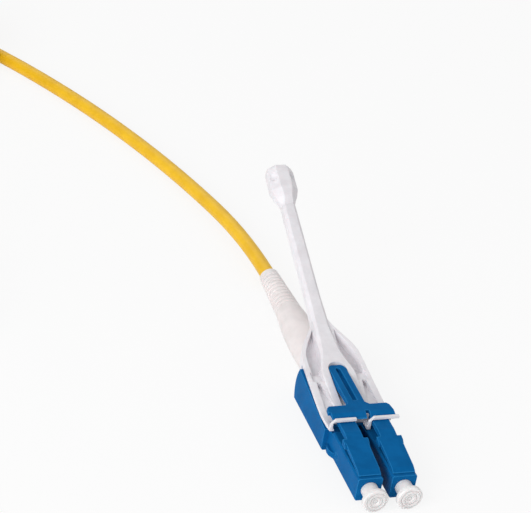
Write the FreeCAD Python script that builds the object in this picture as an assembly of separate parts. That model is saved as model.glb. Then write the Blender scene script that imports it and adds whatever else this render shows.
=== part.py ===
import FreeCAD, Part
import math
import os
from FreeCAD import Placement, Rotation, Vector

# Duplex LC uniboot connector with a push-pull tab, on one end of a patch cord, mm.
# X runs across the two plugs, -Y is the way it plugs in, Z is up.
# The origin is midway between the ferrule axes, in the plane of the plugs' front faces.

# Mating interface
pitch = 6.25                 # between the two ferrule axes
plug_size = 4.5              # width and height of a plug nose
ferrule_dia = 1.249
ferrule_reach = 2.75         # ferrule tip ahead of the nose face
ferrule_length = 7.15
nose_hole_dia = 2.2
glass_dia = 0.125
buffer_dia = 0.9             # tight-buffered fibre

# Plug body
plug_step_y = 13.2           # full height back to here
groove_front = 17.8          # retaining groove that the housing rib sits in
groove_length = 1.1
groove_depth = 0.4
plug_rear = 20.2
chamber_dia = 3.1            # for the ferrule holder and its spring
chamber_roof = 0.17          # over the chamber, where the plug goes under the cover
plug_rear_top = chamber_dia / 2 + chamber_roof
chamber_front = 1.8
edge_chamfer = 0.25
boss_front = 11.3            # rounded boss low on the outer side
boss_rear = 14.7
boss_reach = 0.62
boss_height = 1.05
window_y = 9.5               # side window that the spring stop snaps into
window_length = 1.1
window_height = 0.9
window_drop = 0.5            # centre of the window below the ferrule axis

# Latch
latch_root_y = 0.7
latch_crest_y = 1.7          # the lead-in slope ends here
latch_crest = 0.7            # height of its end above the nose
latch_front_width = 4.05     # from the root to the lugs
latch_rear_width = 3.05      # from the lugs to the tail
latch_rise = 2.0             # top of the arm's tail above the nose
latch_top = plug_size / 2 + latch_rise
latch_tail_thick = 0.8
latch_flat_y = 10.5          # the top is level from here back
latch_tail_y = 15.0
latch_gap = 0.07             # under the root, over the nose
lug_width = 4.6
lug_front = 7.4
lug_rear = 8.9
lug_height = 0.82
latch_press = 5.0            # degrees that the arm goes down

# Dust cap
cap_stem_length = 2.55
cap_head_dia = 4.6
cap_head_thick = 0.92
cap_stem_dia = 3.0
cap_bore_clear = 0.04

# Housing
fit = 0.05                   # between parts that are clipped together
plug_side_fit = 0.055
wall = 0.85
floor_thick = 0.5
housing_width = pitch + plug_size + 2 * (plug_side_fit + wall)
housing_floor_z = -(plug_size / 2 + fit + floor_thick)
housing_mouth = 14.9
housing_rear = 30.1
rear_bow = 0.7               # how far the rear face bulges
wall_top_front = 1.7         # side wall height at the mouth
wall_slope = 0.152           # rise of the side wall per mm towards the rear
rear_wall = 0.55
rib_top = 1.1
cover_front = 15.2
cover_thick = 0.48
cover_gap = 0.1              # over the plugs
hinge_y = 27.5               # trigger pivot
hinge_z = 3.4
hinge_pin_dia = 0.8
hinge_boss_dia = 1.5
cheek_thick = 0.5

# Trigger
tab_side_gap = 0.08          # from the tab's and the bar's sides to the housing's
bar_width = housing_width - 2 * tab_side_gap
bar_front = 13.7
bar_rear = 17.0
bar_thick = 0.72
bar_front_thick = 0.09       # at the thin end of its ramp
bar_ramp = 1.2
bar_gap = 0.08               # under the bar, over the latch arms
stem_width = 3.2
head_dia = 3.3
stem_slot_width = 0.9
stem_slot_front = 18.3
stem_slot_floor = 4.55       # the stem is solid below this
head_top = 5.2
trigger_press = 4.4          # degrees that the bar goes down

# Pull tab
tab_width = housing_width - 2 * tab_side_gap
tab_travel = 1.5
tab_gap = 0.08               # over the cover
deck_top = 3.05
hook_front = 12.98
hook_length = 0.54
hook_thick = 0.5
hook_gap = 0.25              # over the latch arms
hook_leg = 0.46              # width of the legs that carry the hooks
hook_slant = 0.9             # how far the knees' outer corners are cut back
hook_leg_gap = 0.21          # from the centre leg to the latch arm beside it
hook_a_end = -pitch / 2 + latch_rear_width / 2 + 0.1
hook_b_start = pitch / 2 - latch_rear_width / 2 - hook_leg_gap - hook_leg
hook_b_end = tab_width / 2 + 0.3
hook_clear = 0.14            # round the legs, in the bar
hood_front = 15.3
hood_rear = 39.5
window_half = 1.75           # half width of the slot that the trigger stem lies in
stick_angle = 24.1
stick_start = Vector(0, 39.9, 7.5)
knob_width = 5.3
knob_height = 4.7
knob_facet = 0.66            # corner cut, as a share of half the knob's height
dimple_radius = 1.15
tongue_reach = 0.35          # tab tongue in the side wall's groove
tongue_height = 0.36
tongue_z = 2.65
tongue_front = 24.6
tongue_length = 2.4

# Ferrule holder, spring and spring stop
holder_dia = 2.8
holder_thick = 1.75
holder_tube_dia = 1.9
holder_length = 4.75
spring_dia = 2.25            # at the middle of the wire
spring_wire = 0.32
spring_turns = 4
ferrule_travel = 0.7         # pushed back when mated
post_front = 9.2
post_clear = 0.06
post_flange_dia = 4.1
post_flange_thick = 0.9

# Cable end
crimp_tube_dia = 3.2
crimp_bore_dia = 2.0
crimp_flange_width = 6.4
crimp_flange_drop = 2.0      # below the cable axis
crimp_flange_thick = 0.9
crimp_tube_rear = 37.0
ring_dia = 4.6
ring_front = 31.0
ring_length = 6.2
boot_rear = 66.8
boot_tail_length = 12.8      # ringed tail; ahead of it the boot is oval
boot_front_width = 8.2
boot_front_height = 5.1
boot_width = 7.1             # over the crimp
boot_height = 5.3
boot_neck_wall = 1.0         # outside the cable where the tail starts
boot_tail_wall = 0.4         # and where it ends
boot_bore_clear = 0.05
boot_socket_dia = 4.8
boot_rings = 10
ring_groove_width = 0.42
ring_groove_depth = 0.24

# Cord: 3 mm round duplex cable, one metre between the two connectors
cable_dia = 3.0
cable_start = 37.6           # jacket end inside the boot
boot_run_start = 50.0        # the laid route starts here, still inside the boot
near_bend_y = boot_rear + 13.2   # corner of the first bend, straight out of the boot
far_bend_y = boot_rear + 10.7
lay_z = housing_floor_z + cable_dia / 2
near_route = [
    Vector(0, boot_run_start, 0),
    Vector(0, near_bend_y, 0),
    Vector(-6.5, 109.2, lay_z),
    Vector(-16.2, 134.4, lay_z),
    Vector(-28.0, 157.4, lay_z),
    Vector(-43.0, 180.1, lay_z),
]
coil_centre = Vector(-59.1, 169.5, 0)
coil_mid_radius = 16.4
coil_layers = 4
coil_columns = 1.852         # turns in each layer
turn_pitch = cable_dia + 0.1
layer_pitch = cable_dia + 0.05
far_origin = Vector(-68, 54, 0)
far_yaw = 7.0                # degrees, towards -X
far_place = Placement(far_origin, Rotation(Vector(0, 0, 1), far_yaw))
far_route = [
    far_place.multVec(Vector(0, boot_run_start, 0)),
    far_place.multVec(Vector(0, far_bend_y, 0)),
    Vector(-78.9, 150.5, 6.6),
    Vector(-78.4, 169.5, lay_z + (coil_layers - 1) * layer_pitch),
]


# Shapes

def block(x0, x1, y0, y1, z0, z1):
    return Part.makeBox(x1 - x0, y1 - y0, z1 - z0, Vector(x0, y0, z0))


def rod(dia, y0, y1, x=0.0, z=0.0):
    return Part.makeCylinder(dia / 2, y1 - y0, Vector(x, y0, z), Vector(0, 1, 0))


def side_prism(outline, x0, x1):
    """A solid between x0 and x1 with an outline of (y, z) points."""
    points = [Vector(x0, y, z) for y, z in outline]
    return Part.Face(Part.makePolygon(points + points[:1])).extrude(Vector(x1 - x0, 0, 0))


def front_prism(outline, y0, y1):
    """A solid between y0 and y1 with an outline of (x, z) points."""
    points = [Vector(x, y0, z) for x, z in outline]
    return Part.Face(Part.makePolygon(points + points[:1])).extrude(Vector(0, y1 - y0, 0))


def plan_prism(outline, z0, z1):
    """A solid between z0 and z1 with an outline of (x, y) points."""
    points = [Vector(x, y, z0) for x, y in outline]
    return Part.Face(Part.makePolygon(points + points[:1])).extrude(Vector(0, 0, z1 - z0))


def turned(profile, x=0.0):
    """A solid of revolution about the Y line through x, from (y, radius) points."""
    points = [Vector(x + r, y, 0) for y, r in profile]
    face = Part.Face(Part.makePolygon(points + points[:1]))
    return face.revolve(Vector(x, 0, 0), Vector(0, 1, 0), 360)


def curve(points):
    spline = Part.BSplineCurve()
    spline.interpolate(points)
    return spline.toShape()


def mirrored(shape):
    return shape.mirror(Vector(0, 0, 0), Vector(1, 0, 0))


def both_sides(shape):
    return shape.fuse(mirrored(shape))


def chamfered_square(size, chamfer, x):
    h = size / 2
    c = h - chamfer
    corners = [(h, -c), (h, c), (c, h), (-c, h), (-h, c), (-h, -c), (-c, -h), (c, -h)]
    return [(x + px, pz) for px, pz in corners]


def wall_top(y):
    return wall_top_front + wall_slope * (y - housing_mouth)


# Plug pieces; x is the ferrule axis, side is +1 or -1 for the outer side

def plug_body(x, side):
    half = plug_size / 2
    nose = front_prism(chamfered_square(plug_size, edge_chamfer, x), 0, plug_rear)
    upper = block(x - half - 1, x + half + 1, plug_step_y, plug_rear + 1, plug_rear_top, half + 1)
    groove_size = plug_size - 2 * groove_depth
    groove = block(x - half - 1, x + half + 1, groove_front, groove_front + groove_length, -half - 1,
                   half + 1)
    groove = groove.cut(block(x - groove_size / 2, x + groove_size / 2, groove_front - 1, plug_rear,
                              -groove_size / 2, half + 2))
    bore = turned([(-1, 0), (-1, nose_hole_dia / 2), (chamber_front, nose_hole_dia / 2),
                   (chamber_front, chamber_dia / 2), (plug_rear + 1, chamber_dia / 2),
                   (plug_rear + 1, 0)], x)
    windows = block(x - half - 1, x + half + 1, window_y, window_y + window_length,
                    -window_drop - window_height / 2, -window_drop + window_height / 2)
    edge = x + side * half
    crown = Vector(edge + side * boss_reach, (boss_front + boss_rear) / 2, -half)
    arc = Part.Arc(Vector(edge, boss_front, -half), crown, Vector(edge, boss_rear, -half)).toShape()
    inside = x + side * (half - 0.3)
    back = Part.makePolygon([Vector(edge, boss_rear, -half), Vector(inside, boss_rear, -half),
                             Vector(inside, boss_front, -half), Vector(edge, boss_front, -half)])
    boss = Part.Face(Part.Wire([arc] + back.Edges)).extrude(Vector(0, 0, boss_height))
    boss.translate(Vector(0, 0, edge_chamfer))
    return nose.fuse(boss).cut(upper).cut(groove).cut(bore).cut(windows).removeSplitter()


def latch_profile_top(y):
    slope = (latch_rise - latch_crest) / (latch_flat_y - latch_crest_y)
    return plug_size / 2 + latch_crest + slope * (y - latch_crest_y)


def latch(x):
    """The arm rises from the nose to its tail and carries the two lugs that catch in the adapter."""
    half = plug_size / 2
    bottom = half + latch_gap
    tail = latch_tail_y
    low = latch_top - latch_tail_thick
    arm = side_prism([(latch_root_y, bottom), (2.1, bottom), (3.2, half + 0.4),
                      (latch_flat_y - 0.3, low - 0.1), (tail, low), (tail, latch_top - 0.25),
                      (tail - 0.25, latch_top), (latch_flat_y, latch_top),
                      (latch_crest_y, half + latch_crest), (latch_root_y, bottom + 0.15)],
                     x - half, x + half)
    f, r = latch_front_width / 2, latch_rear_width / 2
    plan = block(x - f, x + f, 0, lug_rear, 0, 10).fuse(block(x - r, x + r, 0, latch_tail_y + 1, 0, 10))
    front_top, rear_top = latch_profile_top(lug_front), latch_profile_top(lug_rear)
    lug_low = front_top - lug_height
    lugs = side_prism([(lug_front, lug_low), (lug_rear, lug_low), (lug_rear, rear_top),
                       (lug_front + 0.5, rear_top - 0.2), (lug_front, front_top - 0.4)],
                      x - lug_width / 2, x + lug_width / 2)
    return arm.common(plan).fuse(lugs).removeSplitter()


def dust_cap(x):
    head, stem = cap_head_dia / 2, cap_stem_dia / 2
    bore = ferrule_dia / 2 + cap_bore_clear
    neck = -cap_stem_length
    front = neck - cap_head_thick
    bore_end = -ferrule_reach - 0.1
    return turned([(front + 0.16, 0), (front + 0.16, 0.5), (front, 0.62), (front, head - 0.2),
                   (front + 0.2, head), (neck - 0.12, head), (neck, head - 0.12), (neck, stem),
                   (-fit, stem), (-fit, bore + 0.15), (-fit - 0.15, bore), (bore_end, bore),
                   (bore_end, 0)], x)


def ferrule(x):
    r = ferrule_dia / 2
    tip, rear = -ferrule_reach, ferrule_length - ferrule_reach
    glass = glass_dia / 2 + 0.0125
    return turned([(tip, glass), (tip, 0.42), (tip + 0.25, r), (rear, r), (rear, 0.3),
                   (rear - 1.2, glass)], x)


def ferrule_holder(x):
    front = chamber_front + fit
    shoulder = front + holder_thick
    seat = ferrule_dia / 2 + 0.006
    rear = front + holder_length
    seat_end = ferrule_length - ferrule_reach + 0.1
    return turned([(front, seat), (front, holder_dia / 2 - 0.2), (front + 0.2, holder_dia / 2),
                   (shoulder, holder_dia / 2), (shoulder, holder_tube_dia / 2), (rear, holder_tube_dia / 2),
                   (rear, buffer_dia / 2 + fit), (seat_end, buffer_dia / 2 + fit), (seat_end, seat)], x)


def spring(x):
    front = chamber_front + holder_thick + 2 * fit + spring_wire / 2
    rear = post_front - fit - spring_wire / 2
    length = rear - front
    helix = Part.makeHelix(length / spring_turns, length, spring_dia / 2)
    start = Vector(spring_dia / 2, 0, 0)
    wire = Part.Wire(Part.makeCircle(spring_wire / 2, start, Vector(0, 1, 0)))
    coil = Part.Wire(helix).makePipeShell([wire], True, True)
    coil.rotate(Vector(0, 0, 0), Vector(1, 0, 0), -90)
    coil.translate(Vector(x, front, 0))
    return coil


def back_post(x):
    r = chamber_dia / 2 - post_clear
    bore = buffer_dia / 2 + 0.17
    rear = plug_rear + fit
    body = turned([(post_front, bore), (post_front, r), (rear, r), (rear, post_flange_dia / 2),
                   (rear + post_flange_thick, post_flange_dia / 2), (rear + post_flange_thick, bore + 0.2),
                   (rear + post_flange_thick - 0.2, bore)], x)
    body = body.cut(block(x - 3, x + 3, rear - fit, rear + 2, plug_rear_top, 3))
    lug_half = plug_size / 2 - 0.08
    lug = block(x - lug_half, x + lug_half, window_y + fit, window_y + window_length - fit,
                -window_drop - window_height / 2 + fit, -window_drop + window_height / 2 - fit)
    return body.fuse(lug.cut(rod(chamber_dia - 0.6, 0, 20, x))).removeSplitter()


def fibre(x, side):
    """Bare glass in the ferrule, then the buffered fibre in an easy S-bend into the crimp post."""
    end_x = side * (buffer_dia / 2 + 0.03)
    glass_end = ferrule_length - ferrule_reach + 0.15
    bend_start = plug_rear + post_flange_thick + fit
    bend_end = housing_rear - rear_wall - crimp_flange_thick - ferrule_travel - 0.2
    middle = Vector((x + end_x) / 2, (bend_start + bend_end) / 2, 0)
    across, along = abs(x - end_x), bend_end - bend_start
    half_turn = math.atan(across / along)
    radius = along / 2 / math.sin(2 * half_turn)
    bow = radius * (1 - math.cos(half_turn))
    first = Vector(x - side * bow, bend_start + radius * math.sin(half_turn), 0)
    second = Vector(end_x + side * bow, bend_end - radius * math.sin(half_turn), 0)
    rear = cable_start - ferrule_travel - 0.1
    path = Part.Wire([
        Part.LineSegment(Vector(x, glass_end, 0), Vector(x, bend_start, 0)).toShape(),
        Part.Arc(Vector(x, bend_start, 0), first, middle).toShape(),
        Part.Arc(middle, second, Vector(end_x, bend_end, 0)).toShape(),
        Part.LineSegment(Vector(end_x, bend_end, 0), Vector(end_x, rear, 0)).toShape(),
    ])
    section = Part.Wire(Part.makeCircle(buffer_dia / 2, Vector(x, glass_end, 0), Vector(0, 1, 0)))
    buffered = path.makePipeShell([section], True, True)
    return buffered.fuse(rod(glass_dia, -ferrule_reach, glass_end + 0.2, x))


# Housing

def housing_base():
    """An open-topped box with sloping side walls and the seats for plugs, tab and crimp post."""
    half = housing_width / 2
    inner = half - wall
    top_rear = wall_top(housing_rear)
    lower_rear = Vector(-half, housing_rear, housing_floor_z)
    lower_front = Vector(-half, housing_mouth, housing_floor_z)
    upper_front = Vector(-half, housing_mouth, wall_top_front)
    upper_rear = Vector(-half, housing_rear - 0.2, top_rear - 0.03)
    bow = Vector(-half, housing_rear + rear_bow, (housing_floor_z + top_rear) / 2)
    outline = Part.Wire(Part.makePolygon([lower_rear, lower_front, upper_front, upper_rear]).Edges
                        + [Part.Arc(upper_rear, bow, lower_rear).toShape()])
    shell = Part.Face(outline).extrude(Vector(housing_width, 0, 0))
    lower_edges = [e for e in shell.Edges
                   if abs(e.BoundBox.ZMax - housing_floor_z) < 1e-6 and e.BoundBox.YLength > 5]
    shell = shell.makeChamfer(0.3, lower_edges)
    inside_rear = housing_rear - rear_wall
    cavity = block(-inner, inner, housing_mouth - 1, inside_rear, housing_floor_z + floor_thick, 10)
    rear_sill = block(-inner, inner, inside_rear - 1, housing_rear + 2, cover_top() - fit, 10)
    neck = rod(crimp_tube_dia + 2 * fit, inside_rear - 1, housing_rear + 2)
    groove = block(-inner - tongue_reach - 0.1, inner + tongue_reach + 0.1, tongue_front - 0.2,
                   tongue_front + tongue_length + tab_travel + 0.3,
                   tongue_z - tongue_height / 2 - fit, tongue_z + tongue_height / 2 + fit)
    base = shell.cut(cavity).cut(rear_sill).cut(neck).cut(groove)
    for seat in [plug_rib(inner), ledges(inner, inside_rear), crimp_seat(inside_rear)]:
        base = base.fuse(seat)
    return base.removeSplitter()


def cover_top():
    return plug_rear_top + cover_gap + cover_thick


def plug_rib(inner):
    """A rib across the housing that sits in the plugs' grooves and takes the mating force."""
    bottom = housing_floor_z + floor_thick
    rib = block(-inner, inner, groove_front + fit, groove_front + groove_length - fit, bottom, rib_top)
    notch = plug_size / 2 - groove_depth + fit
    for side in (-1, 1):
        x = side * pitch / 2
        rib = rib.cut(block(x - notch, x + notch, groove_front - 1, plug_rear, -notch, rib_top + 1))
    return rib


def ledges(inner, inside_rear):
    """Ledges along both walls that carry the cover."""
    ledge = block(inner - 0.5, inner, plug_rear + post_flange_thick + 0.25, inside_rear,
                  housing_floor_z + floor_thick, plug_rear_top + fit)
    return both_sides(ledge)


def crimp_seat(inside_rear):
    """Two posts that hold the crimp post's flange against the rear wall."""
    front = inside_rear - crimp_flange_thick - 2 * fit
    stop = block(crimp_flange_width / 2 - 0.6, crimp_flange_width / 2 + 0.7, front - 0.8, front,
                 housing_floor_z + floor_thick, rib_top)
    return both_sides(stop)


def housing_cover():
    """The plate over the fibres, with the two cheeks that the trigger turns in."""
    half = housing_width / 2 - wall - fit
    rear = housing_rear - rear_wall - fit
    plate = block(-half, half, cover_front, rear, plug_rear_top + cover_gap, cover_top())
    top = cover_top()
    nose_chamfer = side_prism([(cover_front - 1, top - 0.3), (cover_front - 1, top + 1),
                               (cover_front + 0.3, top + 1), (cover_front + 0.3, top)], -half, half)
    plate = plate.cut(nose_chamfer)
    inner = head_dia / 2 + 0.15
    boss = hinge_boss_dia / 2
    cheek = block(inner, inner + cheek_thick, hinge_y - boss, hinge_y + boss, cover_top() - 0.1, hinge_z)
    cheek = cheek.fuse(cross_pin(hinge_boss_dia, inner, inner + cheek_thick))
    cheek = cheek.cut(cross_pin(hinge_pin_dia + 2 * fit, inner - 1, inner + cheek_thick + 1))
    return plate.fuse(both_sides(cheek)).removeSplitter()


def cross_pin(dia, x0, x1):
    """A cylinder along the trigger's pivot."""
    return Part.makeCylinder(dia / 2, x1 - x0, Vector(x0, hinge_y, hinge_z), Vector(1, 0, 0))


# Trigger and pull tab

def trigger():
    """A T-shaped lever: a ramped bar over both latch arms on a slotted stem that pivots at its head."""
    bottom = latch_top + bar_gap
    bar_top = bottom + bar_thick
    head_end = hinge_y + head_dia / 2 - 0.1
    head_low = hinge_z - 0.65
    profile = side_prism([(bar_front, bottom), (bar_front, bottom + bar_front_thick),
                          (bar_front + bar_ramp, bar_top), (bar_rear, bar_top), (head_end - 0.25, head_top),
                          (head_end, head_top - 0.25), (head_end, head_low), (hinge_y - 1.5, head_low),
                          (hinge_y - 2.6, 3.9), (bar_rear, bottom)], -bar_width, bar_width)
    h = bar_width / 2
    bar = plan_prism([(-h, bar_front), (h, bar_front), (h, bar_front + 0.4), (h - 0.35, bar_rear - 0.5),
                      (h - 0.8, bar_rear), (-h + 0.8, bar_rear), (-h + 0.35, bar_rear - 0.5),
                      (-h, bar_front + 0.4)], 0, 10)
    s = stem_width / 2
    stem = block(-s, s, bar_rear - 0.5, hinge_y, 0, 10)
    gussets = plan_prism([(-s - 0.7, bar_rear), (s + 0.7, bar_rear), (s, bar_rear + 0.7),
                          (-s, bar_rear + 0.7)], 0, 10)
    head = Part.makeCylinder(head_dia / 2, 10, Vector(0, hinge_y - 0.1, 0))
    body = profile.common(bar.fuse(stem).fuse(gussets).fuse(head))
    r = stem_slot_width / 2
    slot_rear = hinge_y
    floor = stem_slot_floor
    slot = block(-r, r, stem_slot_front, slot_rear, floor, 10)
    slot = slot.fuse(Part.makeCylinder(r, 10, Vector(0, slot_rear, floor)))
    pins = both_sides(cross_pin(hinge_pin_dia, 0, head_dia / 2 + 0.15 + cheek_thick))
    return body.cut(slot).cut(hook_notches()).fuse(pins).removeSplitter()


def hook_notches():
    """Notches in the bar's front that the hooks' legs slide back into."""
    rear = hook_front + hook_length + tab_travel + 2 * hook_clear
    reach = hook_leg + hook_clear
    notch_a = block(-10, -tab_width / 2 + reach, 0, rear, 0, 10)
    notch_b = block(hook_b_start - hook_clear, hook_b_start + reach, 0, rear, 0, 10)
    return notch_a.fuse(notch_b)


def hood_outline():
    """The +X edge of the hood from its front to where it runs out into the stick."""
    half = tab_width / 2
    table = [(hood_front, half), (20.0, half), (26.0, half - 0.25), (30.5, half - 0.5), (32.5, half - 0.8),
             (34.3, half - 1.6), (36.0, half - 2.75), (37.5, half - 3.75), (hood_rear, 1.45)]
    return [Vector(w, y, 0) for y, w in table]


def hood_plan():
    right = hood_outline()
    left = [Vector(-p.x, p.y, 0) for p in right]
    wire = Part.Wire([
        curve(right),
        Part.LineSegment(right[-1], left[-1]).toShape(),
        curve(left[::-1]),
        Part.LineSegment(left[0], right[0]).toShape(),
    ])
    return Part.Face(wire).extrude(Vector(0, 0, 20))


def hood_underside():
    """The underside from the rear to the front, clear of the cover, the rear wall and the boot."""
    bottom_z = cover_top() + tab_gap
    step = housing_rear - tab_travel
    return [(hood_rear, 6.2), (35.5, 4.35), (32.5, 3.15), (30.6, 2.98), (step + 0.4, 2.98),
            (step - 0.2, bottom_z), (hood_front, bottom_z)]


def hood_profile(tops, x_half):
    """The hood's side view under a curved top."""
    top = [Vector(-x_half, y, z) for y, z in tops]
    low = [Vector(-x_half, y, z) for y, z in hood_underside()]
    under = Part.makePolygon([top[-1]] + low + [top[0]])
    return Part.Face(Part.Wire([curve(top)] + under.Edges)).extrude(Vector(2 * x_half, 0, 0))


def ridge():
    """The raised middle of the hood, bevelled more and more towards the stick that it runs out into."""
    stations = [(hood_front, 3.0, deck_top, 0.05), (18.5, 3.03, 3.2, 0.05), (22.0, 3.1, 3.82, 0.08),
                (25.0, 3.15, 4.52, 0.15), (27.6, 3.1, 5.2, 0.25), (30.3, 2.4, 5.85, 0.4),
                (33.0, 1.95, 6.6, 0.52), (36.0, 1.75, 7.5, 0.6), (hood_rear, 1.5, 8.64, 0.58)]
    sections = []
    for y, w, top, bevel in stations:
        corners = [(-w, 0), (w, 0), (w, top - bevel), (w - bevel, top), (-w + bevel, top),
                   (-w, top - bevel)]
        points = [Vector(x, y, z) for x, z in corners]
        sections.append(Part.makePolygon(points + points[:1]))
    above = side_prism(hood_underside() + [(hood_front, 20), (hood_rear, 20)], -5, 5)
    return Part.makeLoft(sections, True, False).common(above)


def lens_pocket():
    """The long pocket between rim and ridge on the +X side."""
    outer = [Vector(4.95, 27.6, 0), Vector(4.9, 30.5, 0), Vector(4.55, 32.5, 0), Vector(3.75, 34.3, 0),
             Vector(2.75, 36.0, 0), Vector(2.1, 37.1, 0)]
    inner = [Vector(2.1, 37.1, 0), Vector(1.98, 35.0, 0), Vector(1.98, 33.0, 0), Vector(2.35, 30.3, 0),
             Vector(3.0, 28.4, 0), Vector(3.7, 27.4, 0)]
    wire = Part.Wire([curve(outer), curve(inner), Part.LineSegment(inner[-1], outer[0]).toShape()])
    plan = Part.Face(wire).extrude(Vector(0, 0, 20))
    floor = side_prism([(27, 3.1), (30.6, 3.7), (33, 4.1), (35.5, 5.2), (38, 6.5), (38, 15),
                        (27, 15)], 0, 8)
    return plan.common(floor)


def pull_tab():
    """A tray on the housing whose front hooks reach over the latch arms, and a stick with a grip knob."""
    rim_tops = [(hood_front, deck_top), (17.6, 3.12), (20.5, 3.5), (24, 4.05), (28, 4.85), (32.3, 5.8),
                (35.5, 6.8), (hood_rear, 8.1)]
    plan = hood_plan()
    tray = hood_profile(rim_tops, 8).common(plan)
    pocket = plan_prism([(4.75, 25.4), (3.95, 25.4), (3.0, 17.7), (5.2, 17.7)], deck_top, 12)
    rib_step = block(3.2, 5.3, 25.4, 27.6, 4.0, 12)
    cuts = lens_pocket().fuse(pocket).fuse(rib_step)
    tray = tray.cut(both_sides(cuts))
    tray = tray.fuse(ridge())
    end = housing_rear + 0.7
    over_walls = side_prism([(11, -5), (end, -5), (end, rim_bottom(end)), (11, rim_bottom(11))],
                            housing_width / 2 - wall - fit, 10)
    tray = tray.fuse(front_frame()).cut(both_sides(over_walls))
    tray = tray.fuse(tongues()).cut(trigger_window())
    return tray.fuse(stick()).removeSplitter()


def rim_bottom(y):
    """The rims clear the rising side walls over the whole travel."""
    return wall_top(y) + wall_slope * tab_travel + fit


def front_frame():
    """Two hooks ahead of the bar: one on a leg of the -X rail, one on a leg of a centre tongue."""
    half = tab_width / 2
    rear = hook_front + hook_length
    base = cover_top() + tab_gap
    low = latch_top + hook_gap
    top = low + hook_thick

    def hook(x0, x1, z0):
        knee = x0 + hook_leg
        outline = [(x0, z0), (knee, z0), (knee, low - 0.2), (knee + 0.2, low), (x1, low), (x1, top),
                   (x0 + hook_slant, top), (x0, top - hook_slant)]
        return front_prism(outline, hook_front, rear)

    rail_nose = base + 0.35
    rail = side_prism([(hook_front, rail_nose), (housing_mouth, base), (hood_front + 1, base),
                       (hood_front + 1, deck_top), (hook_front, deck_top)], -half, -half + 0.75)
    tongue_bottom = base + 0.12
    tongue = block(hook_b_start - 0.2, hook_b_start + hook_leg, hook_front, hood_front + 1,
                   tongue_bottom, deck_top)
    frame = hook(-half, hook_a_end, rail_nose).fuse(rail)
    return frame.fuse(hook(hook_b_start, hook_b_end, tongue_bottom)).fuse(tongue)


def tongues():
    inner = housing_width / 2 - wall
    tongue = block(inner - 1, inner + tongue_reach, tongue_front, tongue_front + tongue_length,
                   tongue_z - tongue_height / 2, tongue_z + tongue_height / 2)
    return both_sides(tongue)


def trigger_window():
    """The slot that the trigger stem lies in, and the pocket under the ridge for the cover's cheeks."""
    slot_end = hinge_y + 0.1
    slot = block(-window_half, window_half, hood_front + 0.5, slot_end, deck_top, 20)
    slot = slot.fuse(Part.makeCylinder(window_half, 20, Vector(0, slot_end, deck_top)))
    cheek = head_dia / 2 + 0.15 + cheek_thick + 0.1
    boss = hinge_boss_dia / 2 + 0.12
    hollow = block(-cheek, cheek, hinge_y - boss - tab_travel, hinge_y + boss, 0, hinge_z + boss)
    through = block(-window_half, window_half, hinge_y - 2.15 - tab_travel, slot_end, 0, 20)
    through = through.fuse(Part.makeCylinder(window_half, 20, Vector(0, slot_end, 0)))
    return slot.fuse(hollow).fuse(through)


def octagon(t, width, height, cut):
    """A section of the stick at a distance t along it, facing along Y."""
    w, h = width / 2, height / 2
    c = cut * min(w, h)
    corners = [(w, -h + c), (w, h - c), (w - c, h), (-w + c, h),
               (-w, h - c), (-w, -h + c), (-w + c, -h), (w - c, -h)]
    points = [Vector(x, t, z) for x, z in corners]
    return Part.makePolygon(points + points[:1])


def stick():
    """The long stick rising from the hood and its faceted knob with a dimple on each side."""
    shaft = [octagon(-4.2, 3.6, 2.5, 0.45), octagon(0, 3.1, 2.6, 0.45), octagon(5, 2.8, 2.4, 0.45),
             octagon(25.6, 2.7, 2.3, 0.45)]
    w, h, c = knob_width, knob_height, knob_facet
    knob = [octagon(25.6, 2.7, 2.3, 0.45), octagon(27.2, 0.8 * w, 0.84 * h, c), octagon(28.9, w, h, c),
            octagon(32.9, w, 0.96 * h, c), octagon(34.0, 0.9 * w, 0.86 * h, c),
            octagon(34.4, 0.72 * w, 0.66 * h, c)]
    body = Part.makeLoft(shaft, True, True).fuse(Part.makeLoft(knob, True, True))
    dimple = Part.makeSphere(dimple_radius, Vector(0.44 * w, 31.6, 0.44 * h), Vector(0, 1, 0))
    body = body.cut(both_sides(dimple)).removeSplitter()
    body.rotate(Vector(0, 0, 0), Vector(1, 0, 0), stick_angle)
    body.translate(stick_start)
    return body


# Cable end

def crimp_post():
    front = housing_rear - rear_wall - fit - crimp_flange_thick
    w = crimp_flange_width / 2
    flange = block(-w, w, front, front + crimp_flange_thick, -crimp_flange_drop, plug_rear_top)
    r = crimp_tube_dia / 2
    profile = [(front, 0), (front, r), (ring_front + 0.4, r)]
    teeth = 5
    step = (crimp_tube_rear - ring_front - 1.2) / teeth
    for k in range(teeth):
        y = ring_front + 0.4 + k * step
        profile += [(y, r), (y + 0.6 * step, r), (y + 0.7 * step, r - 0.12), (y + 0.9 * step, r - 0.12)]
    profile += [(crimp_tube_rear - 0.5, r), (crimp_tube_rear, r - 0.25), (crimp_tube_rear, 0)]
    tube = turned(profile)
    return flange.fuse(tube).cut(rod(crimp_bore_dia, 0, 60)).removeSplitter()


def crimp_ring():
    inner = crimp_tube_dia / 2 + fit
    outer = ring_dia / 2
    rear = ring_front + ring_length
    return turned([(ring_front, inner), (ring_front, outer), (rear - 1.5, outer), (rear - 1.1, outer - 0.2),
                   (rear, outer - 0.2), (rear, inner)])


def oval(y, width, height):
    major, minor = width / 2, height / 2
    ellipse = Part.Ellipse(Vector(0, y, 0), major, minor)
    ellipse.Axis = Vector(0, -1, 0)
    ellipse.XAxis = Vector(1, 0, 0)
    return Part.Wire(ellipse.toShape())


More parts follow.
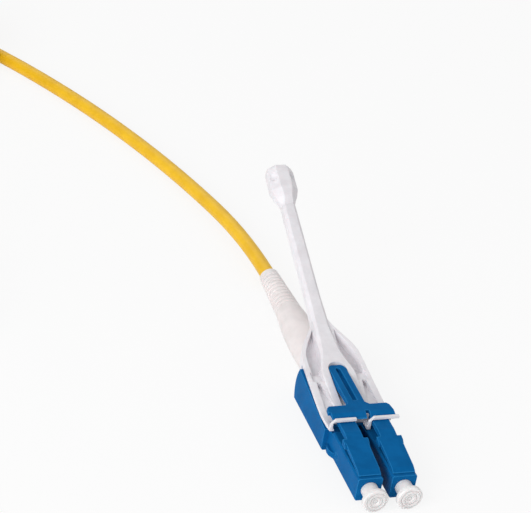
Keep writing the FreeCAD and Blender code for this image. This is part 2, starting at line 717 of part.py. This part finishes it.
def boot():
    """Strain relief: an oval sleeve over the crimp that runs out into a round ringed tail."""
    front = housing_rear + rear_bow + fit
    round_y = boot_rear - boot_tail_length
    front_r = cable_dia / 2 + boot_neck_wall
    rear_r = cable_dia / 2 + boot_tail_wall
    w, h = boot_width, boot_height
    length = round_y - ring_front
    shoulder = ring_front + ring_length + 0.8
    sleeve = Part.makeLoft([oval(front, boot_front_width, boot_front_height), oval(shoulder, w, h),
                            oval(shoulder + 6, w, h), oval(round_y - 4, (w + 5.1) / 2, (h + 5.1) / 2),
                            oval(round_y, 2 * front_r + 0.01, 2 * front_r)], True, False)
    taper = (front_r - rear_r) / boot_tail_length

    def radius(y):
        return front_r - taper * (y - round_y)

    pitch_y = (boot_tail_length - 1.2) / boot_rings
    profile = [(round_y - 1, 0), (round_y - 1, front_r - ring_groove_depth)]
    for k in range(boot_rings):
        y = round_y + k * pitch_y
        floor_r = radius(y) - ring_groove_depth
        ring = y + ring_groove_width
        profile += [(ring, floor_r), (ring + 0.1, radius(ring)),
                    (y + pitch_y - 0.1, radius(y + pitch_y)), (y + pitch_y, floor_r)]
    profile = profile[:-1]
    profile += [(boot_rear - 0.25, radius(boot_rear)), (boot_rear, radius(boot_rear) - 0.2), (boot_rear, 0)]
    socket = boot_socket_dia / 2
    bore_r = cable_dia / 2 + boot_bore_clear
    socket_end = ring_front + ring_length + 1.2
    bore = turned([(front - 1, 0), (front - 1, socket), (socket_end, socket), (socket_end + 3.1, bore_r),
                   (boot_rear + 1, bore_r), (boot_rear + 1, 0)])
    return sleeve.fuse(turned(profile)).cut(bore).removeSplitter()


# Cord

def cord_tube(route, lead, name):
    """Straight runs joined by tangent arcs as large as the runs allow, after a lead inside the boot."""
    edges = [Part.LineSegment(lead, route[0]).toShape()]
    last = route[0]
    for before, here, after in zip(route, route[1:], route[2:]):
        inward, outward = here - before, after - here
        half_turn = inward.getAngle(outward) / 2
        reach = 0.45 * min(inward.Length, outward.Length)
        radius = reach / math.tan(half_turn)
        print(name, "arc radius", round(radius, 1))
        u, v = Vector(inward).normalize(), Vector(outward).normalize()
        start, end = here - u * reach, here + v * reach
        towards = (v - u).normalize()
        middle = here + towards * (radius / math.cos(half_turn) - radius)
        edges.append(Part.LineSegment(last, start).toShape())
        edges.append(Part.Arc(start, middle, end).toShape())
        last = end
    edges.append(Part.LineSegment(last, route[-1]).toShape())
    path = Part.Wire(edges)
    section = Part.Wire(Part.makeCircle(cable_dia / 2, lead, route[0] - lead))
    tube = path.makePipeShell([section], True, True)
    print(name, "length", round(path.Length, 1), "volume ratio",
          round(tube.Volume / (path.Length * math.pi * cable_dia ** 2 / 4), 4))
    return tube


def cable_coil():
    """The closed outer shape of the put-away turns."""
    half = coil_columns * turn_pitch / 2 + cable_dia / 2
    inner, outer = coil_mid_radius - half, coil_mid_radius + half
    top = housing_floor_z + (coil_layers - 1) * layer_pitch + cable_dia
    c = 0.9
    bottom = housing_floor_z
    section = [(inner + c, bottom), (outer - c, bottom), (outer, bottom + c), (outer, top - c),
               (outer - c, top), (inner + c, top), (inner, top - c), (inner, bottom + c)]
    points = [coil_centre + Vector(r, 0, z) for r, z in section]
    face = Part.Face(Part.makePolygon(points + points[:1]))
    ring = face.revolve(coil_centre, Vector(0, 0, 1), 360)
    for before, end in (near_route[-2:], far_route[-2:]):
        run = end - before
        ring = ring.cut(Part.makeCylinder(cable_dia / 2, run.Length, before, run))
    return ring


# Assembly

def connector_pieces():
    pieces = {}
    for letter, side in (("a", -1), ("b", 1)):
        x = side * pitch / 2
        pieces["plug_" + letter] = plug_body(x, side)
        pieces["latch_" + letter] = latch(x)
        pieces["dust_cap_" + letter] = dust_cap(x)
        pieces["ferrule_" + letter] = ferrule(x)
        pieces["ferrule_holder_" + letter] = ferrule_holder(x)
    pieces["housing_base"] = housing_base()
    pieces["housing_cover"] = housing_cover()
    pieces["trigger"] = trigger()
    pieces["pull_tab"] = pull_tab()
    pieces["boot"] = boot()
    return pieces


def inner_pieces():
    pieces = {}
    for letter, side in (("a", -1), ("b", 1)):
        x = side * pitch / 2
        pieces["spring_" + letter] = spring(x)
        pieces["back_post_" + letter] = back_post(x)
        pieces["fibre_" + letter] = fibre(x, side)
    pieces["crimp_post"] = crimp_post()
    pieces["crimp_ring"] = crimp_ring()
    return pieces


def main():
    os.makedirs("parts", exist_ok=True)
    near = connector_pieces()
    nodes = dict(near)
    nodes.update(inner_pieces())
    for name, shape in near.items():
        far = shape.copy()
        far.transformShape(far_place.toMatrix())
        nodes["far_" + name] = far
    nodes["cable"] = cord_tube(near_route, Vector(0, cable_start, 0), "cable")
    nodes["cable_far"] = cord_tube(far_route, far_place.multVec(Vector(0, cable_start, 0)), "cable_far")
    nodes["cable_coil"] = cable_coil()
    for name, shape in nodes.items():
        print(name, shape.isValid(), len(shape.Solids), round(shape.Volume, 2))
        shape.exportStep("parts/" + name + ".step")


main()
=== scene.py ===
import bmesh
import bpy
import math
import random
from mathutils import Matrix, Vector


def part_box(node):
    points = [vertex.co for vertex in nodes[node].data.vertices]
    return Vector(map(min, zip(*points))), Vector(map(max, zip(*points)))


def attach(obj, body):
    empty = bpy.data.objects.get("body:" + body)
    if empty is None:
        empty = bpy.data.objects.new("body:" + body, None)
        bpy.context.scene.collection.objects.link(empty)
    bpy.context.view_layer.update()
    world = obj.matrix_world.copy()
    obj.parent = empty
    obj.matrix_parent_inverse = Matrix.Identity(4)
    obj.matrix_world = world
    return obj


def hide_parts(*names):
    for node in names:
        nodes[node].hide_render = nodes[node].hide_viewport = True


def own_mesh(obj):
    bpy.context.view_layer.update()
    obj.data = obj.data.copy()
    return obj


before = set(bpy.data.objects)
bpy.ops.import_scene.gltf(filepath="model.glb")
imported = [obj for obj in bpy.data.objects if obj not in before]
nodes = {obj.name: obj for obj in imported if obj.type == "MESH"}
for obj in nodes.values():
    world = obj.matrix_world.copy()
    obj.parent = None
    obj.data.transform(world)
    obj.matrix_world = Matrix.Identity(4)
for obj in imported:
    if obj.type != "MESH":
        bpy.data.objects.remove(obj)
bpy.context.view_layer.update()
scene = bpy.context.scene
floorZ = -0.0028  # the surface that the cord and both connectors lie on
farYaw = math.radians(7.0)
farOrigin = Vector((-0.068, 0.054, 0.0))
print("frame loaded")


def farPoint(y):
    # A point on the far connector's own centre line.
    return farOrigin + Vector((-math.sin(farYaw) * y, math.cos(farYaw) * y, 0.0))


# Shared surface effects

def newGroup(name, inputs, outputs):
    group = bpy.data.node_groups.new(name, "ShaderNodeTree")
    for way, sockets in (("INPUT", inputs), ("OUTPUT", outputs)):
        for label, kind in sockets.items():
            group.interface.new_socket(label, in_out=way, socket_type="NodeSocket" + kind)
    return group, group.nodes.new("NodeGroupInput"), group.nodes.new("NodeGroupOutput")


def useGroup(tree, group, values):
    node = tree.nodes.new("ShaderNodeGroup")
    node.node_tree = group
    for label, value in values.items():
        node.inputs[label].default_value = value
    return node


def wire(tree, start, end):
    tree.links.new(start, end)


def noise(tree, vector, scale, detail, roughness=0.55):
    node = tree.nodes.new("ShaderNodeTexNoise")
    node.inputs["Scale"].default_value = scale
    node.inputs["Detail"].default_value = detail
    node.inputs["Roughness"].default_value = roughness
    wire(tree, vector, node.inputs["Vector"])
    return node.outputs["Fac"]


def ramp(tree, value, low, high, outLow, outHigh):
    node = tree.nodes.new("ShaderNodeMapRange")
    node.interpolation_type = "SMOOTHSTEP"
    for label, number in (("From Min", low), ("From Max", high), ("To Min", outLow), ("To Max", outHigh)):
        node.inputs[label].default_value = number
    wire(tree, value, node.inputs["Value"])
    return node.outputs["Result"]


def maths(tree, kind, a, b=0.0):
    node = tree.nodes.new("ShaderNodeMath")
    node.operation = kind
    for socket, value in zip(node.inputs, (a, b)):
        if isinstance(value, (int, float)):
            socket.default_value = value
        else:
            wire(tree, value, socket)
    return node.outputs["Value"]


def mixColours(tree, share, first, second):
    # Each colour is a socket or three numbers.
    node = tree.nodes.new("ShaderNodeMix")
    node.data_type = "RGBA"
    wire(tree, share, node.inputs["Factor"])
    for label, colour in (("A", first), ("B", second)):
        if isinstance(colour, tuple):
            node.inputs[label].default_value = (*colour, 1.0)
        else:
            wire(tree, colour, node.inputs[label])
    return node.outputs["Result"]


mouldPlan = {
    "flowScale": 260.0,
    "patchScale": 900.0,
    "flowShare": 0.7,
    "shadeRange": (0.35, 0.65),
    "roughRange": (0.3, 0.7),
    "roughSwing": (-0.04, 0.05),
    "grainStrength": 0.35,
    "edgeSamples": 6,
}


def makeMouldGroup():
    # Soft edges, a fine grain and faint flow marks.
    plan = mouldPlan
    group, given, out = newGroup(
        "mould",
        {"Grain": "Float", "Depth": "Float", "Edge": "Float"},
        {"Shade": "Float", "Roughness": "Float", "Normal": "Vector"})
    coords = group.nodes.new("ShaderNodeTexCoord").outputs["Object"]
    flow = noise(group, coords, plan["flowScale"], 3.0)
    patches = noise(group, coords, plan["patchScale"], 2.0)
    grain = group.nodes.new("ShaderNodeTexNoise")
    grain.inputs["Detail"].default_value = 2.0
    wire(group, coords, grain.inputs["Vector"])
    wire(group, given.outputs["Grain"], grain.inputs["Scale"])
    edge = group.nodes.new("ShaderNodeBevel")
    edge.samples = plan["edgeSamples"]
    wire(group, given.outputs["Edge"], edge.inputs["Radius"])
    bump = group.nodes.new("ShaderNodeBump")
    bump.inputs["Strength"].default_value = plan["grainStrength"]
    wire(group, given.outputs["Depth"], bump.inputs["Distance"])
    wire(group, grain.outputs["Fac"], bump.inputs["Height"])
    wire(group, edge.outputs["Normal"], bump.inputs["Normal"])
    shade = maths(group, "ADD", maths(group, "MULTIPLY", flow, plan["flowShare"]),
                  maths(group, "MULTIPLY", patches, 1 - plan["flowShare"]))
    wire(group, ramp(group, shade, *plan["shadeRange"], 0.0, 1.0), out.inputs["Shade"])
    wire(group, ramp(group, patches, *plan["roughRange"], *plan["roughSwing"]), out.inputs["Roughness"])
    wire(group, bump.outputs["Normal"], out.inputs["Normal"])
    return group


def makePaintedHighlightGroup():
    # Painted highlight mask: 1 along the outer edges of a moulding, 0 on its faces and in its inner corners.
    group, given, out = newGroup("rim", {"Reach": "Float"}, {"Mask": "Float"})
    inside = group.nodes.new("ShaderNodeAmbientOcclusion")
    inside.inside = True
    inside.only_local = True
    inside.samples = 8
    wire(group, given.outputs["Reach"], inside.inputs["Distance"])
    wire(group, ramp(group, inside.outputs["AO"], 0.5, 0.95, 1.0, 0.0), out.inputs["Mask"])
    return group


capRingPlan = {
    "axis": 0.003125,  # each cap's distance from the middle
    "gate": (0.00025, 0.0004),
    "rings": (0.00105, 0.0017),
    "ringEdge": (0.00005, 0.00018),
    "depth": 0.00012,
}


def makeCapRingGroup():
    # Two turned rings and a gate mark round the axis of each cap, from a point in the plugs' frame.
    plan = capRingPlan
    group, given, out = newGroup("capRings", {"Point": "Vector"}, {"Height": "Float"})
    parts = group.nodes.new("ShaderNodeSeparateXYZ")
    wire(group, given.outputs["Point"], parts.inputs["Vector"])
    across = maths(group, "SUBTRACT", maths(group, "ABSOLUTE", parts.outputs["X"]), plan["axis"])
    squares = maths(group, "ADD", maths(group, "POWER", across, 2.0),
                    maths(group, "POWER", parts.outputs["Z"], 2.0))
    radius = maths(group, "SQRT", squares)
    height = ramp(group, radius, *plan["gate"], 1.0, 0.0)
    for ring in plan["rings"]:
        offset = maths(group, "ABSOLUTE", maths(group, "SUBTRACT", radius, ring))
        height = maths(group, "MAXIMUM", height, ramp(group, offset, *plan["ringEdge"], 1.0, 0.0))
    wire(group, height, out.inputs["Height"])
    return group


mould = makeMouldGroup()
rim = makePaintedHighlightGroup()
capRings = makeCapRingGroup()


# Materials

def plastic(name, dark, light, roughness, grain=9000.0, depth=0.00001, edge=0.0001, milk=0.0, specular=0.5):
    material = bpy.data.materials.new(name)
    material.use_nodes = True
    tree = material.node_tree
    shader = tree.nodes["Principled BSDF"]
    surface = useGroup(tree, mould, {"Grain": grain, "Depth": depth, "Edge": edge})
    wire(tree, mixColours(tree, surface.outputs["Shade"], dark, light), shader.inputs["Base Color"])
    wire(tree, maths(tree, "ADD", surface.outputs["Roughness"], roughness), shader.inputs["Roughness"])
    wire(tree, surface.outputs["Normal"], shader.inputs["Normal"])
    shader.inputs["Specular IOR Level"].default_value = specular
    if milk:
        shader.inputs["Subsurface Weight"].default_value = milk
        shader.inputs["Subsurface Radius"].default_value = (0.0008, 0.0006, 0.0006)
        shader.inputs["Subsurface Scale"].default_value = 1.0
    return material


def metal(name, dark, light, roughness):
    material = plastic(name, dark, light, roughness, grain=14000.0, depth=0.000006, edge=0.00005)
    material.node_tree.nodes["Principled BSDF"].inputs["Metallic"].default_value = 1.0
    return material


def paintRimHighlight(material, light, reach):
    # Mixes a lighter colour into the base colour along the outer edges, as a painted highlight.
    tree = material.node_tree
    target = tree.nodes["Principled BSDF"].inputs["Base Color"]
    mask = useGroup(tree, rim, {"Reach": reach}).outputs["Mask"]
    wire(tree, mixColours(tree, mask, target.links[0].from_socket, light), target)


def addCapRings(material, origin, yaw):
    tree = material.node_tree
    target = tree.nodes["Principled BSDF"].inputs["Normal"]
    place = tree.nodes.new("ShaderNodeMapping")
    place.vector_type = "TEXTURE"
    place.inputs["Location"].default_value = origin
    place.inputs["Rotation"].default_value = (0.0, 0.0, yaw)
    wire(tree, tree.nodes.new("ShaderNodeTexCoord").outputs["Object"], place.inputs["Vector"])
    rings = useGroup(tree, capRings, {})
    wire(tree, place.outputs["Vector"], rings.inputs["Point"])
    bump = tree.nodes.new("ShaderNodeBump")
    bump.inputs["Strength"].default_value = 1.0
    bump.inputs["Distance"].default_value = capRingPlan["depth"]
    wire(tree, rings.outputs["Height"], bump.inputs["Height"])
    wire(tree, target.links[0].from_socket, bump.inputs["Normal"])
    wire(tree, bump.outputs["Normal"], target)


plasticPlan = {
    "blue": {"name": "mouldedBlue", "dark": (0.003, 0.104, 0.300), "light": (0.004, 0.126, 0.355),
             "roughness": 0.44, "depth": 0.000005, "specular": 0.02},
    "white": {"name": "mouldedWhite", "dark": (0.755, 0.73, 0.76), "light": (0.825, 0.805, 0.835),
              "roughness": 0.38, "depth": 0.000008, "milk": 0.2},
    "boot": {"name": "bootWhite", "dark": (0.77, 0.72, 0.715), "light": (0.84, 0.785, 0.78),
             "roughness": 0.50, "depth": 0.000012, "milk": 0.25},
    "cap": {"name": "capWhite", "dark": (0.76, 0.735, 0.735), "light": (0.83, 0.81, 0.81),
            "roughness": 0.45, "depth": 0.000008, "milk": 0.3},
    "jacket": {"name": "jacketYellow", "dark": (0.80, 0.465, 0.012), "light": (0.88, 0.53, 0.016),
               "roughness": 0.42, "grain": 5200.0, "depth": 0.000012, "specular": 0.3},
    "zirconia": {"name": "zirconia", "dark": (0.78, 0.77, 0.74), "light": (0.86, 0.85, 0.82),
                 "roughness": 0.12, "milk": 0.2},
    "buffer": {"name": "bufferWhite", "dark": (0.78, 0.78, 0.75), "light": (0.85, 0.85, 0.82),
               "roughness": 0.4},
}
plasticPlan["farCap"] = {**plasticPlan["cap"], "name": "farCapWhite"}
metalPlan = {
    "nickel": {"name": "nickelPlate", "dark": (0.55, 0.54, 0.50), "light": (0.66, 0.65, 0.60),
               "roughness": 0.28},
    "steel": {"name": "springSteel", "dark": (0.42, 0.42, 0.43), "light": (0.52, 0.52, 0.53),
              "roughness": 0.32},
}
# Painted highlight: a lighter blue mixed into the blue moulding's outer edges.
bluePaintedHighlight = {"light": (0.02, 0.21, 0.50), "reach": 0.0002}
looks = {key: plastic(**plan) for key, plan in plasticPlan.items()}
looks.update({key: metal(**plan) for key, plan in metalPlan.items()})
paintRimHighlight(looks["blue"], **bluePaintedHighlight)
addCapRings(looks["cap"], (0.0, 0.0, 0.0), 0.0)
addCapRings(looks["farCap"], farOrigin, farYaw)

# By the start of a node's name, without its far_. The first that fits is used.
lookOf = {
    "plug": "blue", "latch": "blue", "back_post": "blue", "housing": "blue", "trigger": "blue",
    "pull_tab": "white", "boot": "boot", "dust_cap": "cap", "ferrule_holder": "nickel", "ferrule": "zirconia",
    "spring": "steel", "crimp": "nickel", "fibre": "buffer", "cable": "jacket",
}
for name, node in nodes.items():
    plainName = name.replace("far_", "")
    look = lookOf[next(start for start in lookOf if plainName.startswith(start))]
    if name.startswith("far_dust_cap"):
        look = "farCap"
    node.data.materials.clear()
    node.data.materials.append(looks[look])
print("surfaces done")


# Meshes

def makePiece(bm, name, material):
    mesh = bpy.data.meshes.new(name)
    bm.to_mesh(mesh)
    bm.free()
    mesh.materials.append(material)
    piece = bpy.data.objects.new(name, mesh)
    scene.collection.objects.link(piece)
    return piece


def lastFace(found):
    return next(item for item in found if isinstance(item, bmesh.types.BMFace))


def pushFace(bm, face, step):
    pushed = bmesh.ops.extrude_face_region(bm, geom=[face, *face.edges, *face.verts])
    face = lastFace(pushed["geom"])
    bmesh.ops.translate(bm, verts=face.verts, vec=step)
    return face


def turnFace(bm, face, centre, angle, steps, step=(0.0, 0.0, 0.0)):
    # Turned about Y, from +Z towards -X, and moved on each time by a step that turns with it.
    turned = bmesh.ops.spin(bm, geom=[face, *face.edges, *face.verts], cent=centre, axis=(0.0, -1.0, 0.0),
                            dvec=step, angle=angle, steps=steps, use_duplicate=False)
    return lastFace(turned["geom_last"])


# Cord and its tie

cordPlan = {
    "radius": 0.0015,
    "centre": (-0.0591, 0.1695),
    "outer": 0.01927,
    "inner": 0.01353,
    "layers": 4,
    "turnsPerLayer": 1.852,
    "rise": 0.00305,
    "climb": 0.28,  # in turns, from one layer to the next
    "start": math.radians(33.4),
    "perTurn": 16,
    "swell": 0.75,  # makes up for the curve running inside its points
    "wander": 0.00006,
    "seed": 7,
}
cordLow = floorZ + cordPlan["radius"]
cordTop = cordLow + (cordPlan["layers"] - 1) * cordPlan["rise"]
tiePlan = {
    "angle": math.radians(100.0),
    "width": 0.004,
    "thick": 0.0003,
    "gap": 0.00005,
    "play": 0.0001,
    "corner": 0.0014,
    "steps": 8,
    "tail": 0.0055,
    "tailBend": 0.05,
    "crease": math.radians(40.0),
}


def smoothStep(t):
    t = min(max(t, 0.0), 1.0)
    return t * t * (3 - 2 * t)


def coilLevel(turns):
    # The layer that the cord lies in, with a smooth climb to each new one.
    level = 0.0
    for layer in range(1, cordPlan["layers"]):
        pastStart = turns - layer * cordPlan["turnsPerLayer"]
        level += smoothStep(pastStart / cordPlan["climb"] + 0.5)
    return level


def coilPoints():
    # Inwards in one layer and outwards in the next, a little higher where the tie passes below.
    plan = cordPlan
    rng = random.Random(plan["seed"])
    count = round(plan["layers"] * plan["turnsPerLayer"] * plan["perTurn"])
    swell = 1 / math.cos(math.pi / plan["perTurn"]) ** plan["swell"]
    points = []
    for k in range(1, count):
        turns = k / plan["perTurn"]
        layer, share = divmod(turns / plan["turnsPerLayer"], 1.0)
        inward = share if layer % 2 == 0 else 1 - share
        radius = plan["outer"] + (plan["inner"] - plan["outer"]) * inward
        radius = radius * swell + rng.uniform(-plan["wander"], plan["wander"])
        angle = plan["start"] + turns * 2 * math.pi
        lift = (tiePlan["thick"] + tiePlan["gap"]) * (1 + math.cos(angle - tiePlan["angle"])) / 2
        points.append(Vector((plan["centre"][0] + radius * math.cos(angle),
                              plan["centre"][1] + radius * math.sin(angle),
                              cordLow + coilLevel(turns) * plan["rise"] + lift)))
    return points


def makeTie():
    # A flat strap, once round the turns from the top, with its free end lapped over the start.
    plan = tiePlan
    corner, thick, steps, bend = plan["corner"], plan["thick"], plan["steps"], plan["tailBend"]
    lap = thick + plan["gap"]
    reach = cordPlan["radius"] + plan["gap"]
    low = floorZ + thick + corner
    high = cordTop + reach + lap - corner
    near = cordPlan["inner"] - reach - plan["play"] + corner
    far = cordPlan["outer"] + reach + plan["play"] - corner
    side, top, quarter = plan["width"] / 2, high + corner, math.pi / 2
    bm = bmesh.new()
    outline = ((-side, top), (side, top), (side, top + thick), (-side, top + thick))
    end = bm.faces.new([bm.verts.new((far, y, z)) for y, z in outline])
    straights = ((near - far, 0.0, 0.0), (0.0, 0.0, low - high), (far - near, 0.0, 0.0))
    for (x, z), straight in zip(((near, high), (near, low), (far, low)), straights):
        end = turnFace(bm, pushFace(bm, end, straight), (x, 0.0, z), quarter, steps)
    end = pushFace(bm, end, (0.0, 0.0, high - low))
    end = turnFace(bm, end, (far, 0.0, high), quarter, steps, (lap / steps, 0.0, 0.0))
    turnFace(bm, end, (far, 0.0, top + lap + bend), -plan["tail"] / bend, steps)
    place = Matrix.Translation((*cordPlan["centre"], 0.0)) @ Matrix.Rotation(plan["angle"], 4, "Z")
    bmesh.ops.transform(bm, matrix=place, verts=bm.verts)
    bmesh.ops.recalc_face_normals(bm, faces=bm.faces)
    for face in bm.faces:
        face.smooth = True
    for edge in bm.edges:
        edge.smooth = edge.calc_face_angle(0.0) < plan["crease"]
    tie = makePiece(bm, "coilTie", looks["buffer"])
    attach(tie, "housing")
    return tie


def makeCord(tie):
    route = [Vector((0, 0.064, 0)), Vector((0, 0.080, 0)), Vector((-0.0065, 0.1092, cordLow)),
             Vector((-0.0162, 0.1344, cordLow)), Vector((-0.0280, 0.1574, cordLow)),
             Vector((-0.0405, 0.1765, cordLow))]
    route += coilPoints()
    route += [Vector((-0.0784, 0.1695, cordTop)), Vector((-0.0789, 0.1505, 0.0066)), farPoint(0.0775),
              farPoint(0.064)]
    curve = bpy.data.curves.new("patchCord", "CURVE")
    curve.dimensions = "3D"
    curve.bevel_depth = cordPlan["radius"]
    curve.bevel_resolution = 5
    curve.resolution_u = 8
    spline = curve.splines.new("NURBS")
    spline.points.add(len(route) - 1)
    for point, place in zip(spline.points, route):
        point.co = (*place, 1.0)
    spline.order_u = 3
    spline.use_endpoint_u = True
    cord = bpy.data.objects.new("patchCord", curve)
    scene.collection.objects.link(cord)
    curve.materials.append(looks["jacket"])
    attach(cord, "housing")
    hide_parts("cable", "cable_coil", "cable_far")
    return cord


makeCord(makeTie())
print("cord done")


# Ferrule springs

springPlan = {
    "turns": 4,
    "wire": 0.00016,
    "perTurn": 24,
    "sides": 10,
    "squeeze": 0.0007,
}


def makeSpring(name, node):
    low, high = (Vector(corner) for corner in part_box(node))
    wireRadius = springPlan["wire"]
    middle = (low + high) / 2
    steps = springPlan["turns"] * springPlan["perTurn"]
    rise = (high.y - low.y - 2 * wireRadius) / steps
    bm = bmesh.new()
    bmesh.ops.create_circle(bm, cap_ends=True, segments=springPlan["sides"], radius=wireRadius)
    bmesh.ops.translate(bm, verts=bm.verts, vec=(high.x - wireRadius, low.y + wireRadius, middle.z))
    turnFace(bm, bm.faces[:][0], middle, 2 * math.pi * springPlan["turns"], steps, (0.0, rise, 0.0))
    bmesh.ops.recalc_face_normals(bm, faces=bm.faces)
    for face in bm.faces:
        face.smooth = len(face.verts) == 4
    spring = makePiece(bm, name, looks["steel"])
    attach(spring, "housing")
    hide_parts(node)
    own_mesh(spring)
    return spring


for letter in ("a", "b"):
    makeSpring("ferruleSpring" + letter.upper(), "spring_" + letter)
print("springs done")


# Studio

studioPlan = {
    "floorReach": 3.0,
    "floorGlow": 0.85,  # how much of the seen floor is plain white
    "skyLevel": 0.4,  # the sky's light on the pieces; it is 1 where it is seen
}
lampPlan = {
    "keyLight": {"place": (-0.53, -0.36, 0.31), "target": (-0.01, 0.05, 0.0), "size": 0.42, "power": 3.8},
    "fillLight": {"place": (0.45, -0.20, 0.35), "target": (0.0, 0.05, 0.0), "size": 0.5, "power": 0.6},
    "rimLight": {"place": (-0.05, 0.60, 0.50), "target": (0.0, 0.05, 0.0), "size": 0.5, "power": 0.9},
}
cameraPlan = {
    "place": (-0.12379, -0.23247, 0.19698),
    "yaw": math.radians(-22.25),
    "tilt": math.radians(30.75),
    "roll": math.radians(9.4),
    "lens": 130.44,
    "sensor": 36.0,
}


def seenRays(tree):
    # 1 on what is seen, be it straight, in gloss or through a clear piece.
    rays = tree.nodes.new("ShaderNodeLightPath")
    seen = maths(tree, "MAXIMUM", rays.outputs["Is Camera Ray"], rays.outputs["Is Glossy Ray"])
    return maths(tree, "MAXIMUM", seen, rays.outputs["Is Transmission Ray"])


def makeFloorMaterial():
    material = bpy.data.materials.new("studioWhite")
    material.use_nodes = True
    tree = material.node_tree
    shader = tree.nodes["Principled BSDF"]
    shader.inputs["Base Color"].default_value = (0.92, 0.92, 0.92, 1.0)
    shader.inputs["Roughness"].default_value = 0.9
    shader.inputs["Specular IOR Level"].default_value = 0.0
    glow = tree.nodes.new("ShaderNodeEmission")
    glow.inputs["Color"].default_value = (1.0, 1.0, 1.0, 1.0)
    glow.inputs["Strength"].default_value = 1.0
    mix = tree.nodes.new("ShaderNodeMixShader")
    wire(tree, maths(tree, "MULTIPLY", seenRays(tree), studioPlan["floorGlow"]), mix.inputs["Fac"])
    wire(tree, shader.outputs["BSDF"], mix.inputs[1])
    wire(tree, glow.outputs["Emission"], mix.inputs[2])
    wire(tree, mix.outputs["Shader"], tree.nodes["Material Output"].inputs["Surface"])
    return material


def makeFloor():
    bm = bmesh.new()
    bmesh.ops.create_grid(bm, x_segments=1, y_segments=1, size=studioPlan["floorReach"])
    bmesh.ops.translate(bm, verts=bm.verts, vec=(0.0, 0.0, floorZ))
    floor = makePiece(bm, "studioFloor", makeFloorMaterial())
    return floor


def addLamp(name, place, target, size, power):
    light = bpy.data.lights.new(name, "AREA")
    light.shape = "SQUARE"
    light.size = size
    light.energy = power
    lamp = bpy.data.objects.new(name, light)
    scene.collection.objects.link(lamp)
    lamp.location = place
    lamp.rotation_euler = (Vector(target) - Vector(place)).to_track_quat("-Z", "Y").to_euler()
    return lamp


def makeWorld():
    world = bpy.data.worlds.new("studioWorld")
    world.use_nodes = True
    tree = world.node_tree
    sky = tree.nodes["Background"]
    sky.inputs["Color"].default_value = (1.0, 1.0, 1.0, 1.0)
    extra = maths(tree, "MULTIPLY", seenRays(tree), 1 - studioPlan["skyLevel"])
    wire(tree, maths(tree, "ADD", extra, studioPlan["skyLevel"]), sky.inputs["Strength"])
    scene.world = world
    return world


def makeCamera():
    plan = cameraPlan
    data = bpy.data.cameras.new("studioCamera")
    data.sensor_fit = "HORIZONTAL"
    data.sensor_width = plan["sensor"]
    data.lens = plan["lens"]
    data.clip_start = 0.01
    camera = bpy.data.objects.new("studioCamera", data)
    scene.collection.objects.link(camera)
    turn = (Matrix.Rotation(plan["yaw"], 4, "Z") @ Matrix.Rotation(math.pi / 2 - plan["tilt"], 4, "X")
            @ Matrix.Rotation(plan["roll"], 4, "Z"))
    camera.matrix_world = Matrix.Translation(plan["place"]) @ turn
    scene.camera = camera
    return camera


makeFloor()
for name, plan in lampPlan.items():
    addLamp(name, **plan)
makeWorld()
makeCamera()
scene.view_settings.view_transform = "Standard"
print("studio done")
